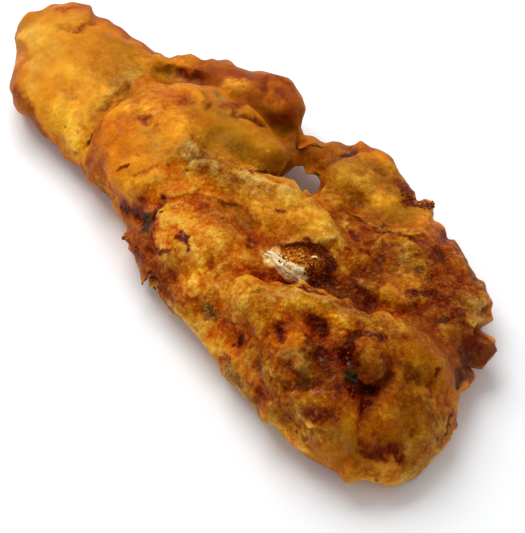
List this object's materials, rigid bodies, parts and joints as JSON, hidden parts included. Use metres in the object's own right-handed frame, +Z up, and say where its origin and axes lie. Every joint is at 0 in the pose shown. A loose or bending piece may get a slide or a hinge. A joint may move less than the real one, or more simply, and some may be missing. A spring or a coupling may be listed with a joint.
{
  "type": "chicken tender",
  "caption": "One battered and fried chicken tender with a craggy golden crust, a smooth narrow tail, a broad head and a torn spot of white meat.",
  "frame": {"origin": "under the middle of the piece's box, at the level of its flat underside", "axes": "+X along the strip towards its broad head, +Y towards the side with the flap, +Z up"},
  "size_m": [0.1366, 0.056, 0.0193],
  "materials": {
    "fried_crust": "rough fried batter, golden brown with darker fried spots and a thin gloss of oil"
  },
  "bodies": {
    "root": {"chicken_tender": "fried_crust"}
  },
  "joints": []
}
